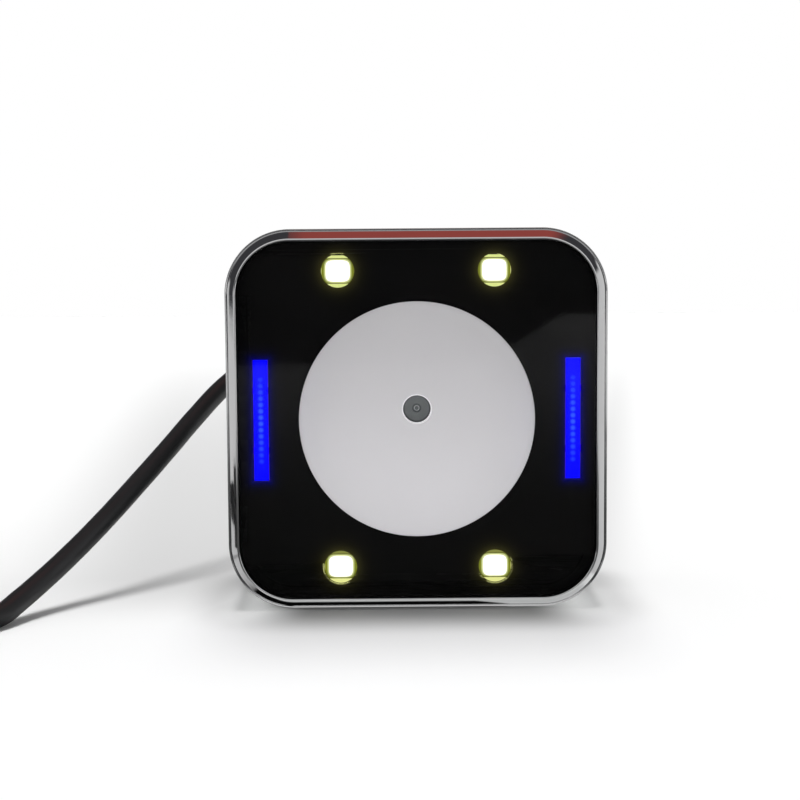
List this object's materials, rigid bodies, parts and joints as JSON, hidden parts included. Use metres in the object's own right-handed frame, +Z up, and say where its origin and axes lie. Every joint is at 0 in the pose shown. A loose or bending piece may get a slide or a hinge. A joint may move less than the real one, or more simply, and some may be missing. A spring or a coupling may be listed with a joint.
{
  "type": "barcode scan engine",
  "caption": "Fixed-mount code reader: square glossy black window in a chrome bezel, white lit disc round a camera eye, corner lamps, blue status bars and a USB lead.",
  "frame": {"origin": "middle of the housing's footprint, on the surface it stands on, lead and plug left out", "axes": "+X to the right seen from the window's side, +Y from the window to the back, +Z up"},
  "size_m": [0.1605, 0.0905, 0.066],
  "materials": {
    "bright_chrome": "polished",
    "clear_window": "polished",
    "black_foam": "matt",
    "gloss_black_film": "gloss",
    "opal_white": "satin",
    "black_moulding": "fine matt",
    "blue_light_guide": "lit",
    "green_board": "solder mask",
    "lamp_ceramic": "satin",
    "lamp_lens": "lit",
    "blue_led": "lit",
    "black_rubber": "matt",
    "lens_metal": "anodised",
    "lens_glass": "coated",
    "sensor_glass": "gloss",
    "steel": "plated",
    "ivory_nylon": "moulded",
    "orange_film": "satin",
    "brass": "turned",
    "chip_black": "moulded",
    "capacitor_tan": "sintered",
    "wire_red": "satin",
    "shell_black": "spark eroded",
    "cord_black": "satin",
    "strap_fabric": "hook and loop",
    "plug_black": "satin",
    "plug_steel": "nickel plated",
    "plug_white": "moulded",
    "plug_gold": "plated"
  },
  "bodies": {
    "root": {"bezel": "bright_chrome", "window": "clear_window", "window_tape": "black_foam", "mask_film": "gloss_black_film", "diffuser_disc": "opal_white", "front_frame": "black_moulding", "light_bar_left": "blue_light_guide", "light_bar_right": "blue_light_guide", "led_board": "green_board", "lamp_top_left": "lamp_ceramic", "lamp_top_right": "lamp_ceramic", "lamp_bottom_left": "lamp_ceramic", "lamp_bottom_right": "lamp_ceramic", "lamp_lens_top_left": "lamp_lens", "lamp_lens_top_right": "lamp_lens", "lamp_lens_bottom_left": "lamp_lens", "lamp_lens_bottom_right": "lamp_lens", "bar_leds_left": "blue_led", "bar_leds_right": "blue_led", "fill_leds": "lamp_ceramic", "body_seal": "black_rubber", "lens_holder": "black_moulding", "lens_barrel": "lens_metal", "front_lens": "lens_glass", "image_sensor": "sensor_glass", "sensor_board": "green_board", "sensor_screws": "steel", "sensor_socket": "ivory_nylon", "ribbon_cable": "orange_film", "board_spacers": "brass", "board_screws": "steel", "main_board": "green_board", "decoder_chip": "chip_black", "memory_chip": "chip_black", "crystal": "steel", "board_capacitors": "capacitor_tan", "ribbon_socket": "ivory_nylon", "lead_socket": "ivory_nylon", "lead_connector": "ivory_nylon", "signal_wires": "wire_red", "buzzer": "chip_black", "rear_shell": "shell_black", "mount_inserts": "brass", "housing_screws": "steel", "strain_relief": "cord_black", "cord_lead": "cord_black", "cord_coil": "cord_black", "cord_strap": "strap_fabric", "cord_tail": "cord_black", "plug_body": "plug_black", "plug_shell": "plug_steel", "plug_tongue": "plug_white", "plug_contacts": "plug_gold"}
  },
  "joints": []
}
